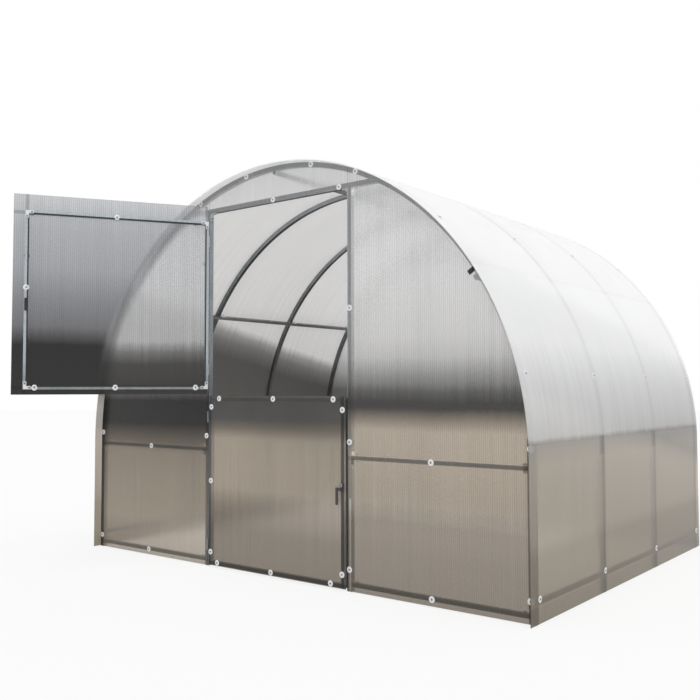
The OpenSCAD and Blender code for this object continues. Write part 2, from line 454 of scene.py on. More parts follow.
@dataclass(frozen=True)
class WasherFinish:
    """Milky washer plastic with dust in its hollows."""

    name: str
    plastic: Colour
    dust: Colour

    def material(self) -> bpy.types.Material:
        """Build the material.

        Returns:
            The material.
        """
        shader = Shader.of_material(self.name)
        place = shader.place()
        dirt = shader.noise(place, 160.0, 4.0, 0.65).eased(0.5, 0.8)
        surface = shader.surface(
            Base_Color=shader.blend(dirt * 0.5, self.plastic, self.dust),
            Roughness=0.28 + dirt * 0.3,
            Normal=shader.relief(shader.noise(place, 420.0), 0.0002, 0.25),
        )
        return shader.finished(surface)


@dataclass(frozen=True)
class Shade:
    """Painted shade on a sheet: a line where a tube lies against its other side and keeps the light back.

    A line with a negative depth is painted lighter than the sheet, a painted highlight.
    """

    along: Triple
    at: float
    half: float
    depth: float
    within: tuple[Triple, float, float] | None = None
    soft: float = 0.002

    def _near(self, shader: Shader, place: Value, along: Triple, at: float, half: float) -> Value:
        """One within half of a place along a direction, 0 beyond it."""
        off = (shader.along(place, along) - at).size()
        return 1.0 - off.eased(half - self.soft, half + self.soft)

    def level(self, shader: Shader, place: Value) -> Value:
        """Level that the line leaves of the sheet's colour.

        Args:
            shader: Shader of the sheet.
            place: Place on the sheet.

        Returns:
            The level, 1 away from the line.
        """
        strength = self.depth * self._near(shader, place, self.along, self.at, self.half)
        if self.within is not None:
            strength = strength * self._near(shader, place, *self.within)
        return 1.0 - strength


@dataclass(frozen=True)
class SheetFinish:
    """Twin-wall sheet: fine flutes, uneven haze along them and tones that change with height; the tones
    partly paint in the ground and dark surroundings seen through and reflected in the sheet.

    Each tone is a height, a colour and the share of the surface that is milky there. The milky share
    scatters light and glows a little by a painted glow, an emission of its own colour, and the rest
    blurs what lies behind, less so below haze_line where low_roughness is given. Far tones take over
    beyond far_line, measured across the flutes, along an edge that is bent by far_bow.
    """

    name: str
    flutes: Flutes
    tones: tuple[ToneStop, ...]
    far_tones: tuple[ToneStop, ...] = ()
    shades: tuple[Shade, ...] = ()
    pitch: float = 0.0105
    rib_depth: float = 0.10
    streak_depth: float = 0.16
    waver: float = 0.05
    roughness: float = 0.30
    low_roughness: float = 0.0
    haze_line: float = 0.765
    glow: float = 0.0
    lean: float = 0.0
    reach: float = 2.3
    far_line: float = 1.79
    far_bow: float = 0.5

    def _colour(self, shader: Shader, height: Value, tones: Sequence[ToneStop]) -> Value:
        """Colour of the sheet, looked up by height."""
        return shader.ramp(height, [(up / self.reach, colour) for up, colour, _ in tones])

    def material(self) -> bpy.types.Material:
        """Build the material.

        Returns:
            The material.
        """
        shader = Shader.of_material(self.name)
        place = shader.place()
        z = shader.parts(place)[2]
        across = shader.along(place, self.flutes.value)
        ribs = (across * (2.0 * math.pi / self.pitch)).sine() * 0.5 + 0.5
        streaks = shader.noise(shader.vector(across * 34.0, 0.0, z * 0.7), 1.0, 4.0, 0.7)
        cloud = shader.noise(place, 1.6, 3.0, 0.55)
        height = z + (cloud - 0.5) * (2.0 * self.waver) + (streaks - 0.5) * 0.03
        if self.lean:
            height = height + shader.along(place, (0.0, self.lean, 0.0))
        height = height / self.reach
        # tones by height, partly painted ground and dark surroundings seen through the sheet
        colour = self._colour(shader, height, self.tones)
        if self.far_tones:
            rise = z - 1.0
            far = (across + rise * rise * self.far_bow - self.far_line).eased(-0.05, 0.05)
            colour = shader.blend(far, colour, self._colour(shader, height, self.far_tones))
        level = 1.0 + self.rib_depth * (0.5 - ribs) + self.streak_depth * (streaks - 0.5)
        # painted shade and painted highlights along the tube lines
        for shade in self.shades:
            level = level * shade.level(shader, place)
        haze = streaks * 0.14 + self.roughness
        if self.low_roughness:
            haze = haze - (self.roughness - self.low_roughness) * (
                1.0 - z.eased(self.haze_line - 0.02, self.haze_line + 0.02)
            )
        common = {
            "Base_Color": shader.scaled(colour, level),
            "Roughness": haze,
            "Normal": shader.relief(ribs * 0.8 + streaks * 0.2, 0.0005, 0.24),
        }
        clear = shader.surface(**common, Transmission_Weight=1.0, IOR=1.3)
        # painted glow: the milky share emits its own colour
        milky = shader.surface(**common, Emission_Color=common["Base_Color"], Emission_Strength=self.glow)
        milk = shader.ramp(height, [(up / self.reach, (share,) * 3) for up, _, share in self.tones])
        share = shader.parts(milk)[0] * (0.94 + 0.06 * ribs + 0.12 * (streaks - 0.5))
        return shader.finished(shader.node("ShaderNodeMixShader", inputs={0: share, 1: clear, 2: milky}))


class Bench:
    """Work bench: selection and edit-mode steps that the modelled pieces share."""

    @staticmethod
    def clear() -> None:
        """Deselect every object."""
        bpy.ops.object.select_all(action="DESELECT")

    @staticmethod
    def _opened(size: Triple) -> bpy.types.Object:
        """Size the primitive that was just added and open it, in face mode, with nothing picked.

        Args:
            size: Its scale along the three axes.

        Returns:
            The piece.
        """
        piece = bpy.context.object
        piece.scale = size
        bpy.ops.object.transform_apply(location=True, scale=True)
        bpy.ops.object.mode_set(mode="EDIT")
        bpy.ops.mesh.select_mode(type="FACE")
        bpy.ops.mesh.select_all(action="DESELECT")
        return piece

    @staticmethod
    def block(size: Triple, place: Triple = (0.0, 0.0, 0.0)) -> bpy.types.Object:
        """Add a block and open it.

        Args:
            size: Its lengths.
            place: Its middle.

        Returns:
            The block.
        """
        Bench.clear()
        bpy.ops.mesh.primitive_cube_add(size=1.0, location=place)
        return Bench._opened(size)

    @staticmethod
    def plane(length: float, width: float, place: Triple = (0.0, 0.0, 0.0)) -> bpy.types.Object:
        """Add a level plane, open it and pick it.

        Args:
            length: Its size along X.
            width: Its size along Y.
            place: Its middle.

        Returns:
            The plane.
        """
        Bench.clear()
        bpy.ops.mesh.primitive_plane_add(size=1.0, location=place)
        plane = Bench._opened((length, width, 1.0))
        bpy.ops.mesh.select_all(action="SELECT")
        return plane

    @staticmethod
    def disc(sides: int, radius: float, depth: float, low: float = 0.0) -> bpy.types.Object:
        """Add an upright disc, open it and pick its top.

        Args:
            sides: Number of its sides.
            radius: Its radius.
            depth: Its height.
            low: Height of its underside.

        Returns:
            The disc.
        """
        Bench.clear()
        middle = (0.0, 0.0, low + depth / 2)
        bpy.ops.mesh.primitive_cylinder_add(vertices=sides, radius=radius, depth=depth, location=middle)
        disc = Bench._opened((1.0, 1.0, 1.0))
        Bench.pick_top()
        return disc

    @staticmethod
    def pick(test: Callable[[bmesh.types.BMFace], bool]) -> None:
        """Pick the faces of the open piece that pass a test.

        Args:
            test: Tells whether a face is picked.
        """
        mesh = bpy.context.edit_object.data
        shape = bmesh.from_edit_mesh(mesh)
        for face in shape.faces:
            face.select_set(test(face))
        shape.select_flush(True)
        bmesh.update_edit_mesh(mesh)

    @staticmethod
    def pick_top() -> None:
        """Pick the highest level faces of the open piece."""
        shape = bmesh.from_edit_mesh(bpy.context.edit_object.data)
        top = max(face.calc_center_median().z for face in shape.faces)
        Bench.pick(lambda face: face.normal.z > 0.9 and face.calc_center_median().z > top - 1e-6)

    @staticmethod
    def push(x: float, y: float, z: float, taper: Triple | None = None) -> None:
        """Extrude the picked faces.

        Args:
            x: Way along X.
            y: Way along Y.
            z: Way along Z.
            taper: Scale of the faces at the far end, if they change.
        """
        bpy.ops.mesh.extrude_region_move(TRANSFORM_OT_translate={"value": (x, y, z)})
        if taper is not None:
            bpy.ops.transform.resize(value=taper)

    @staticmethod
    def ease_edges(offset: float, segments: int) -> None:
        """Bevel all edges of the open piece."""
        bpy.ops.mesh.select_all(action="SELECT")
        bpy.ops.mesh.bevel(offset=offset, segments=segments, affect="EDGES")

    @staticmethod
    def close() -> None:
        """Merge doubles, turn all faces outwards and leave edit mode."""
        bpy.ops.mesh.select_all(action="SELECT")
        bpy.ops.mesh.remove_doubles(threshold=1e-6)
        bpy.ops.mesh.normals_make_consistent(inside=False)
        bpy.ops.object.mode_set(mode="OBJECT")

    @staticmethod
    def join(pieces: Sequence[bpy.types.Object], name: str) -> bpy.types.Object:
        """Join pieces into one.

        Args:
            pieces: The pieces; the first keeps its place.
            name: Name of the joined piece.

        Returns:
            The joined piece.
        """
        Bench.clear()
        for piece in pieces:
            piece.select_set(True)
        bpy.context.view_layer.objects.active = pieces[0]
        if len(pieces) > 1:
            bpy.ops.object.join()
        joined = bpy.context.view_layer.objects.active
        joined.name = joined.data.name = name
        return joined

    @staticmethod
    def move(piece: bpy.types.Object, name: str, matrix: Matrix) -> None:
        """Name a piece and move its mesh from the origin to its place.

        Args:
            piece: The piece.
            name: Its name.
            matrix: The move.
        """
        piece.data.transform(matrix)
        piece.data.update()
        piece.name = piece.data.name = name

    @staticmethod
    def smooth(piece: bpy.types.Object, angle: float) -> None:
        """Shade a piece smooth.

        Args:
            piece: The piece.
            angle: Angle in degrees above which an edge stays sharp.
        """
        Bench.clear()
        piece.select_set(True)
        bpy.context.view_layer.objects.active = piece
        bpy.ops.object.shade_smooth_by_angle(angle=math.radians(angle))

    @staticmethod
    def seat(piece: bpy.types.Object, body: Body, slot: Slot | None = None) -> None:
        """Put a finished piece on its body.

        Args:
            piece: The piece.
            body: Body that carries it.
            slot: Record slot of its finish, if it has one; not used.
        """
        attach(piece, body.value)
        LOG.info("%s: %d faces on %s", piece.name, len(piece.data.polygons), body.value)


@dataclass(frozen=True)
class Spot:
    """Seat of a fixing: a point on a surface and the way it faces."""

    place: Triple
    facing: Triple

    def matrix(self) -> Matrix:
        """Placement of a fixing that was modelled at the origin, upright."""
        turn = Vector(self.facing).to_track_quat("Z", "Y").to_matrix().to_4x4()
        return Matrix.Translation(self.place) @ turn


def on_arch(angle: float, radius: float) -> tuple[float, float]:
    """X and Z of a point of the arch, by its angle in degrees from the right spring line."""
    turn = math.radians(angle)
    return radius * math.cos(turn), SPRING + radius * math.sin(turn)


@dataclass
class Fixing:
    """A small fastener, modelled once and copied to its seats."""

    finish: bpy.types.Material
    second: bpy.types.Material
    pattern: bpy.types.Object | None = None

    def model(self) -> bpy.types.Object:
        """Model one fastener at the origin, upright."""
        raise NotImplementedError

    def scatter(self, name: str, body: Body, spots: Iterable[Spot], slot: Slot | None) -> None:
        """Copy the fastener to its seats.

        Args:
            name: Name of the joined copies.
            body: Body that carries them.
            spots: The seats.
            slot: Record slot of the finish, if it has one.
        """
        if self.pattern is None:
            self.pattern = self.model()
        copies = []
        for spot in spots:
            copy = self.pattern.copy()
            copy.data = self.pattern.data.copy()
            copy.data.transform(spot.matrix())
            bpy.context.scene.collection.objects.link(copy)
            copies.append(copy)
        Bench.seat(Bench.join(copies, name), body, slot)

    def put_away(self) -> None:
        """Remove the pattern once all copies are made."""
        if self.pattern is not None:
            bpy.data.objects.remove(self.pattern)
            self.pattern = None


@dataclass
class Washer(Fixing):
    """Round plastic washer with a raised rim and a hex screw in its hollow."""

    radius: float = 0.0155
    flange: float = 0.0014
    dome: float = 0.0012
    screw: float = 0.0048
    screw_head: float = 0.002

    def model(self) -> bpy.types.Object:
        """Model the disc, hollow its middle and set the screw head in it.

        Returns:
            The washer with its screw.
        """
        disc = Bench.disc(18, self.radius, self.flange)
        bpy.ops.mesh.inset(thickness=self.radius * 0.12)
        Bench.push(0.0, 0.0, self.dome, (0.84, 0.84, 1.0))
        bpy.ops.mesh.inset(thickness=self.radius * 0.26)
        Bench.push(0.0, 0.0, -self.dome, (0.86, 0.86, 1.0))
        Bench.close()
        disc.data.materials.append(self.finish)
        head = Bench.disc(6, self.screw, self.screw_head, self.flange)
        Bench.push(0.0, 0.0, 0.0005, (0.78, 0.78, 1.0))
        Bench.close()
        head.data.materials.append(self.second)
        washer = Bench.join([disc, head], "washer_pattern")
        Bench.smooth(washer, 35.0)
        return washer


@dataclass
class Bolt(Fixing):
    """Hex bolt head on a flat steel washer."""

    across: float = 0.0115
    head: float = 0.0042
    crown: float = 0.0008
    plate: float = 0.0095
    plate_t: float = 0.0014

    def model(self) -> bpy.types.Object:
        """Model the flat washer and the hex head on it.

        Returns:
            The bolt head with its washer.
        """
        plate = Bench.disc(12, self.plate, self.plate_t)
        bpy.ops.mesh.inset(thickness=self.plate * 0.08, depth=0.0002)
        Bench.close()
        plate.data.materials.append(self.finish)
        head = Bench.disc(6, self.across / math.sqrt(3.0), self.head - self.crown, self.plate_t)
        Bench.push(0.0, 0.0, self.crown, (0.82, 0.82, 1.0))
        Bench.close()
        head.data.materials.append(self.second)
        return Bench.join([plate, head], "bolt_pattern")


@dataclass
class Workshop:
    """All finishes and fasteners, made once, and the nodes that they go on."""

    nodes: Mapping[str, bpy.types.Object]
    tube: bpy.types.Material = field(init=False)
    lit_front_tube: bpy.types.Material = field(init=False)
    shaded_tube: bpy.types.Material = field(init=False)
    shaded_purlin_tube: bpy.types.Material = field(init=False)
    plate: bpy.types.Material = field(init=False)
    dark: bpy.types.Material = field(init=False)
    lever: bpy.types.Material = field(init=False)
    washer: Washer = field(init=False)
    bolt: Bolt = field(init=False)

    def __post_init__(self) -> None:
        """Build the shared materials and set out the fasteners."""
        bright = ZincFinish(
            "bright tube", (0.525, 0.57, 0.605), (0.335, 0.375, 0.40), (0.06, 0.058, 0.053),
            ground_shade_low=0.85, ground_shade_high=1.3, face_shade=0.88,
        )
        self.tube = bright.material()
        # lit copy of the bright tube, with a painted light towards the right side
        self.lit_front_tube = replace(bright, name="lit front bow tube", painted_light=0.65).material()
        # darker copy of the zinc for bows, legs, base rails and headers: painted shade
        self.shaded_tube = ZincFinish(
            "shaded tube", (0.44, 0.46, 0.47), (0.26, 0.275, 0.285), (0.03, 0.029, 0.027),
            ground_shade_low=1.3, ground_shade_high=2.15, face_shade=0.8,
        ).material()
        # darker copy of the zinc for the purlins: painted shade
        self.shaded_purlin_tube = ZincFinish(
            "shaded purlin tube", (0.36, 0.36, 0.355), (0.21, 0.21, 0.205), (0.06, 0.059, 0.056), face_shade=0.5
        ).material()
        self.plate = ZincFinish(
            "zinc plate", (0.84, 0.86, 0.87), (0.64, 0.665, 0.68), (0.34, 0.335, 0.325),
            spangle=420.0, roughness=0.34, metallic=0.5, ground_shade_low=0.3, ground_shade_high=1.0,
        ).material()
        self.dark = PaintFinish("satin black", (0.018, 0.018, 0.018), (0.12, 0.118, 0.115)).material()
        self.lever = PaintFinish("worn lever", (0.05, 0.05, 0.047), (0.42, 0.42, 0.41)).material()
        screw = ZincFinish(
            "bright screw", (0.40, 0.41, 0.42), (0.22, 0.23, 0.24), (0.14, 0.14, 0.135),
            spangle=900.0, roughness=0.3,
        ).material()
        plastic = WasherFinish("washer plastic", (0.86, 0.87, 0.88), (0.55, 0.53, 0.5)).material()
        self.washer = Washer(plastic, screw)
        self.bolt = Bolt(self.plate, screw)

    def put_away(self) -> None:
        """Remove the patterns of the fasteners."""
        self.washer.put_away()
        self.bolt.put_away()

    def dress(self, finish: bpy.types.Material, *nodes: str) -> None:
        """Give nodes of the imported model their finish.

        Args:
            finish: The material.
            nodes: Names of the nodes.
        """
        for node in nodes:
            materials = self.nodes[node].data.materials
            materials.clear()
            materials.append(finish)


@dataclass
class BowFrame:
    """Bows, legs, purlins and their plates."""

    web_x: float = 1.472
    end_bolts: tuple[float, ...] = (0.745,)
    inner_bolts: tuple[float, ...] = (0.672, 0.75)

    def coupling_spots(self) -> list[Spot]:
        """Seats of the bolts in the sleeves of the legs.

        Returns:
            The seats.
        """
        spots = []
        for y in BOW_PLACES:
            heights = self.end_bolts if y in (BOW_PLACES[0], BOW_PLACES[-1]) else self.inner_bolts
            for side in SIDES:
                spots += [Spot((side * self.web_x, y, z), (-side, 0.0, 0.0)) for z in heights]
        return spots

    def build(self, shop: Workshop) -> None:
        """Give tubes and plates their finish and bolt the sleeves of the legs.

        Args:
            shop: Shared finishes and fasteners.
        """
        # the front bow takes the lit copy of the zinc, with painted light; the other bows, legs, rails and
        # purlins take darker copies, painted shade
        shop.dress(shop.lit_front_tube, "front_bow")
        shop.dress(shop.shaded_tube, "second_bow", "third_bow", "rear_bow")
        shop.dress(shop.shaded_tube, "left_legs", "right_legs", "side_base_rails")
        shop.dress(shop.shaded_purlin_tube, "ridge_purlin", "side_purlins")
        shop.dress(shop.plate, "couplings", "purlin_brackets")
        shop.bolt.scatter("coupling_bolts", Body.BUILDING, self.coupling_spots(), Slot.PLATE)


@dataclass
class Cover:
    """The sheet over the bows, in one piece from the left foot to the right foot."""

    inner: float = 1.5003
    foot: float = 0.003
    half_length: float = 1.1725
    arc_steps: int = 96
    foot_washer: float = 0.105
    end_washer_in: float = 0.02
    washer_angles: tuple[float, ...] = (14.0, 46.5, 133.5, 166.0)

    NODES = ("left_wall_sheet", "left_roof_sheet", "crown_sheet", "right_roof_sheet", "right_wall_sheet")

    def model(self) -> bpy.types.Object:
        """Draw the right wall up, spin it over the bows and draw the left wall down.

        Returns:
            The cover.
        """
        cover = Bench.plane(SHEET, 2.0 * self.half_length, (self.inner + SHEET / 2, 0.0, self.foot))
        Bench.push(0.0, 0.0, SPRING - self.foot)
        bpy.ops.mesh.spin(steps=self.arc_steps, angle=math.pi, center=(0.0, 0.0, SPRING), axis=ALONG)
        Bench.push(0.0, 0.0, self.foot - SPRING)
        Bench.close()
        cover.name = cover.data.name = "cover"
        Bench.smooth(cover, 30.0)
        return cover

    def dress(self, cover: bpy.types.Object) -> None:
        """Give the weather side and the room side of the cover their finishes.

        Args:
            cover: The cover.
        """
        cover.data.materials.append(self.weather_side().material())
        cover.data.materials.append(self.room_side().material())
        for face in cover.data.polygons:
            out = Vector((face.center.x, 0.0, max(face.center.z - SPRING, 0.0))).normalized()
            face.material_index = 1 if face.normal.dot(out) < -0.5 else 0
        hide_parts(*self.NODES)
        Bench.seat(cover, Body.BUILDING, Slot.SHEET)

    @staticmethod
    def weather_side() -> SheetFinish:
        """Finish of the side that faces the sky.

        Returns:
            The finish, with painted shade lines where bows, legs, sleeves, rail and purlin lie behind the
            sheet.
        """
        bows = BOW_PLACES[1:]
        sleeves = [y - 0.02 for y in BOW_PLACES[1:3]]
        return SheetFinish(
            "cover, weather side", Flutes.COVER,
            # the taupe low part and the dark band at the top of the wall are painted ground and dark
            # surroundings seen through the sheet
            (
                (0.00, (0.225, 0.182, 0.118), 0.35),
                (0.13, (0.265, 0.221, 0.157), 0.35),
                (0.275, (0.318, 0.271, 0.203), 0.35),
                (0.34, (0.44, 0.387, 0.31), 0.35),
                (0.66, (0.57, 0.516, 0.44), 0.35),
                (0.725, (0.50, 0.468, 0.428), 0.36),
                (0.755, (0.44, 0.42, 0.395), 0.40),
                (0.775, (0.64, 0.638, 0.625), 0.66),
                (0.84, (0.69, 0.69, 0.69), 0.68),
                (1.00, (0.80, 0.803, 0.805), 0.70),
                (1.20, (0.885, 0.889, 0.891), 0.85),
                (1.535, (0.925, 0.929, 0.93), 0.86),
                (1.565, (0.935, 0.937, 0.938), 0.78),
                (2.25, (0.93, 0.932, 0.933), 0.74),
            ),
            shades=(
                *(Shade(ALONG, y, 0.026, 0.09, soft=0.013) for y in bows),
                *(Shade(ALONG, y, 0.018, 0.17, (UP, 0.38, 0.38), 0.005) for y in bows),
                *(Shade(ALONG, y, 0.03, 0.24, (UP, 0.715, 0.045), 0.005) for y in sleeves),
                Shade(UP, 0.03, 0.045, 0.26, soft=0.004),
                Shade(UP, 1.548, 0.010, 0.05, soft=0.006),
            ),
            waver=0.006, rib_depth=0.16, streak_depth=0.26, glow=0.14, roughness=0.5,
            low_roughness=0.14,
        )

    @staticmethod
    def room_side() -> SheetFinish:
        """Finish of the side that faces the room.

        Returns:
            The finish.
        """
        return SheetFinish(
            "cover, room side", Flutes.COVER,
            # the dark zone from 0.8 to 1.4 m, slanted by lean, is painted dark surroundings seen through
            # the cover; the glow is painted light
            (
                (0.00, (0.50, 0.46, 0.40), 0.15),
                (0.66, (0.55, 0.51, 0.455), 0.15),
                (0.80, (0.09, 0.086, 0.082), 0.80),
                (1.20, (0.075, 0.073, 0.07), 0.85),
                (1.26, (0.12, 0.118, 0.115), 0.82),
                (1.315, (0.18, 0.178, 0.175), 0.78),
                (1.365, (0.32, 0.318, 0.314), 0.65),
                (1.42, (0.74, 0.735, 0.73), 0.50),
                (2.28, (0.82, 0.82, 0.82), 0.50),
            ),
            waver=0.025, lean=0.19, glow=0.42, rib_depth=0.16, streak_depth=0.34,
        )

    def washer_spots(self) -> list[Spot]:
        """Seats of the washers along the feet of both walls and on the bows.

        Returns:
            The seats.
        """
        outer = self.inner + SHEET
        feet = (BOW_PLACES[0] + self.end_washer_in, *BOW_PLACES[1:])
        spots = [
            Spot((side * outer, y, self.foot_washer), (side, 0.0, 0.0)) for side in SIDES for y in feet
        ]
        for angle in self.washer_angles:
            x, z = on_arch(angle, outer)
            spots += [Spot((x, y, z), (x, 0.0, z - SPRING)) for y in BOW_PLACES]
        return spots

    def build(self, shop: Workshop) -> None:
        """Lay the cover over the bows and screw it on."""
        self.dress(self.model())
        shop.washer.scatter("cover_washers", Body.BUILDING, self.washer_spots(), None)


def gable_sheet(
    name: str,
    dark_low: float,
    dark: float,
    levels: tuple[float, ...] = (0.47, 0.51, 0.585, 0.95, 1.12),
    shades: tuple[Shade, ...] = (),
    fade: float = 0.045,
) -> SheetFinish:
    """Finish of a sheet in the front gable; its dark band and lower tint are painted, for dark
    surroundings and ground seen through it.

    Args:
        name: Name of the material.
        dark_low: Height where the dark band begins, painted dark surroundings seen through the sheet.
        dark: Level of the dark band.
        levels: Levels of the painted ground tint below it at the ground, at 0.22, 0.36 and 0.45 m and
            under the band.
        shades: Painted shade lines of the tubes behind it.
        fade: Height over which the dark band comes in.

    Returns:
        The finish.
    """
    milk = 0.22
    # painted dark band: dark surroundings seen through and reflected in the sheet
    painted_dark_band = (dark, 0.98 * dark, 0.955 * dark)

    def ground_tone(level: float) -> Colour:
        """Painted ground tint of the lower part at a level, a little warmer where it is darker."""
        warm = 0.06 * max(0.0, 1.0 - level)
        return level * TAUPE[0], level * TAUPE[1] * (1.0 - warm), level * TAUPE[2] * (1.0 - 2.0 * warm)

    tones = (
        (0.00, ground_tone(levels[0])),
        (0.22, ground_tone(levels[1])),
        (0.36, ground_tone(levels[2])),
        (0.45, ground_tone(levels[3])),
        (dark_low - 0.06, ground_tone(levels[4])),
        (dark_low, ground_tone(0.55 * levels[4])),
        (dark_low + fade, painted_dark_band),
        (0.925, painted_dark_band),
        (0.978, (0.25, 0.248, 0.245)),
        (1.01, (0.40, 0.398, 0.394)),
        (1.10, (0.635, 0.632, 0.626)),
        (1.14, (0.725, 0.722, 0.716)),
        (1.24, (0.77, 0.768, 0.762)),
        (1.60, (0.82, 0.82, 0.822)),
        (2.25, (0.76, 0.763, 0.772)),
    )
    return SheetFinish(
        name, Flutes.GABLE, tuple((height, colour, milk) for height, colour in tones),
        shades=shades, waver=0.012, rib_depth=0.18, streak_depth=0.22, glow=0.32, roughness=0.17,
    )


@dataclass
class Gable:
    """An end wall: posts, header, rails, plates and sheets."""

    name: str
    out: float
    bow_radius: float = 1.4875
    mid_rail_z: float = 0.642
    base_rail_z: float = 0.025
    head_z: float = 1.995
    post_in: float = 0.5
    post_out: float = 0.525
    web_x: float = 1.472
    leg_x: float = 1.475
    plate_t: float = 0.002
    bolt_in: float = 0.028
    washers: tuple[Pair, ...] = ()
    bow_angles: tuple[float, ...] = ()

    def sheets(self) -> dict[str, SheetFinish]:
        """Finish of each sheet node."""
        raise NotImplementedError

    def washer_spots(self) -> list[Spot]:
        """Seats of the washers on the gable's sheets.

        Returns:
            The seats.
        """
        y = self.out * (GABLE_PLANE + SHEET)
        places = [*self.washers, *(on_arch(angle, self.bow_radius) for angle in self.bow_angles)]
        return [Spot((x, y, z), (0.0, self.out, 0.0)) for x, z in places]

    def _plate_bolts(self, x: float, z: float, way: float, up: float) -> list[Spot]:
        """Seats of the bolts in an angle plate.

        Args:
            x: Place of the upright face that it lies on.
            z: Height of the level face that it lies on.
            way: Way that the upright face looks, -1 or 1.
            up: Way that the level face looks, -1 or 1.

        Returns:
            The seats on its level arm and on its upright arm.
        """
        y = self.out * (GABLE_PLANE - RAIL / 2)
        return [
            Spot((x + way * self.bolt_in, y, z + up * self.plate_t), (0.0, 0.0, up)),
            Spot((x + way * self.plate_t, y, z + up * self.bolt_in), (way, 0.0, 0.0)),
        ]

    def bolt_spots(self) -> list[Spot]:
        """Seats of the bolts in the angle plates at the ends of the rails and the header.

        Returns:
            The seats.
        """
        mid_top, base_top = self.mid_rail_z + RAIL, self.base_rail_z + RAIL
        spots = []
        for side in SIDES:
            post, leg = side * self.post_out, side * self.leg_x
            for x, z, way, up in (
                (post, mid_top, side, 1.0),
                (post, self.mid_rail_z, side, -1.0),
                (side * self.web_x, mid_top, -side, 1.0),
                (leg, self.mid_rail_z, -side, -1.0),
                (post, base_top, side, 1.0),
                (leg, base_top, -side, 1.0),
                (side * self.post_in, self.head_z, -side, -1.0),
                (post, self.head_z, side, -1.0),
            ):
                spots += self._plate_bolts(x, z, way, up)
        return spots

    def build(self, shop: Workshop) -> None:
        """Give the gable's nodes their finish, screw the sheets on and bolt the plates.

        Args:
            shop: Shared finishes and fasteners.
        """
        shop.dress(shop.tube, *(f"{self.name}_{part}" for part in ("posts", "mid_rails", "base_rails")))
        # the header takes the darker copy of the zinc: painted shade
        shop.dress(shop.shaded_tube, f"{self.name}_header")
        shop.dress(shop.plate, f"{self.name}_brackets")
        for node, finish in self.sheets().items():
            shop.dress(finish.material(), node)
        shop.washer.scatter(f"{self.name}_washers", Body.BUILDING, self.washer_spots(), None)
        shop.bolt.scatter(f"{self.name}_bolts", Body.BUILDING, self.bolt_spots(), Slot.PLATE)


@dataclass
class FrontGable(Gable):
    """The end wall with the doorway."""

    name: str = "front"
    out: float = -1.0
    washers: tuple[Pair, ...] = (
        (-0.5165, 0.727), (0.5145, 0.107), (0.5155, 0.728), (0.5175, 1.392),
        (-1.004, 0.652), (0.989, 0.652), (-1.02, 0.034), (0.99, 0.034),
        (-1.481, 0.073), (-1.481, 0.72), (1.481, 0.098), (-0.005, 2.007), (0.45, 2.007),
    )
    bow_angles: tuple[float, ...] = (98.0, 79.8, 68.1, 112.8, 145.0, 1.7)

    @staticmethod
    def side_shades(side: float) -> tuple[Shade, ...]:
        """Painted shade lines on a side sheet where rails, post, plates and leg lie against it, with
        painted highlights where the depth is negative.

        Args:
            side: -1 for the left sheet, 1 for the right.

        Returns:
            The lines.
        """
        # the right post's line is painted lighter, a painted highlight; the left one is painted darker, a
        # painted shade
        posts = (-1.9, -0.35, 0.0) if side > 0.0 else (0.15, 0.3, 0.45)
        bands = ((0.225, 0.225), (0.575, 0.125), (0.825, 0.125))
        return (
            Shade(UP, 0.6505, 0.0085, 0.24),
            Shade(UP, 0.6625, 0.0025, -0.2),
            Shade(UP, 0.034, 0.009, 0.14),
            *(
                Shade(ACROSS, side * 0.519, 0.006, depth, (UP, *band))
                for depth, band in zip(posts, bands)
            ),
            Shade(UP, 1.968, 0.013, -0.35, (ACROSS, side * 0.538, 0.010)),
            Shade(ACROSS, side * 1.486, 0.016, 0.6, (UP, 0.39, 0.39)),
            Shade(UP, 0.634, 0.014, 0.5, (ACROSS, side * 0.534, 0.008)),
            Shade(UP, 0.674, 0.010, -0.5, (ACROSS, side * 0.536, 0.010)),
            Shade(UP, 0.652, 0.022, 0.4, (ACROSS, side * 1.462, 0.010)),
        )

    def sheets(self) -> dict[str, SheetFinish]:
        """Finish of each sheet node.

        Returns:
            The finishes by node.
        """
        left_levels = (0.68, 0.90, 0.82, 0.77, 0.66)
        left, right = (self.side_shades(side) for side in SIDES)
        return {
            "front_left_sheet": gable_sheet("front left sheet", 0.68, 0.035, left_levels, left, fade=0.11),
            "front_right_sheet": gable_sheet("front right sheet", 0.852, 0.13, shades=right),
            "front_top_sheet": gable_sheet("front top sheet", 0.845, 0.13),
        }

    def build(self, shop: Workshop) -> None:
        """Dress and fasten the gable, with the fixed halves of the door's hinges."""
        super().build(shop)
        shop.dress(shop.tube, "post_hinges")


@dataclass
class RearGable(Gable):
    """The closed end wall."""

    name: str = "rear"
    out: float = 1.0
    washers: tuple[Pair, ...] = (
        (-0.5165, 0.4), (-0.5165, 1.3), (0.5165, 0.4), (0.5165, 1.3), (-1.0, 0.652), (1.0, 0.652),
        (-1.0, 0.035), (0.0, 0.035), (1.0, 0.035), (0.0, 0.652), (0.0, 2.008),
        (-1.481, 0.1), (1.481, 0.1),
    )
    bow_angles: tuple[float, ...] = (2.2, 35.0, 69.3, 90.0, 110.7, 145.0, 177.8)

    def sheets(self) -> dict[str, SheetFinish]:
        """Finish of each sheet node.

        Returns:
            The finishes by node.
        """
        finish = SheetFinish(
            "rear gable sheet", Flutes.GABLE,
            # the dark band from 0.85 to 1.1 m is painted dark surroundings seen through the sheet
            (
                (0.00, (0.50, 0.46, 0.40), 0.60),
                (0.78, (0.58, 0.54, 0.485), 0.60),
                (0.85, (0.20, 0.194, 0.188), 0.70),
                (0.98, (0.18, 0.176, 0.17), 0.70),
                (1.12, (0.45, 0.45, 0.446), 0.60),
                (1.35, (0.76, 0.76, 0.76), 0.60),
                (2.25, (0.84, 0.842, 0.845), 0.60),
            ),
            waver=0.03, glow=0.3,
        )
        return {f"rear_{part}_sheet": finish for part in ("left", "middle", "right")}


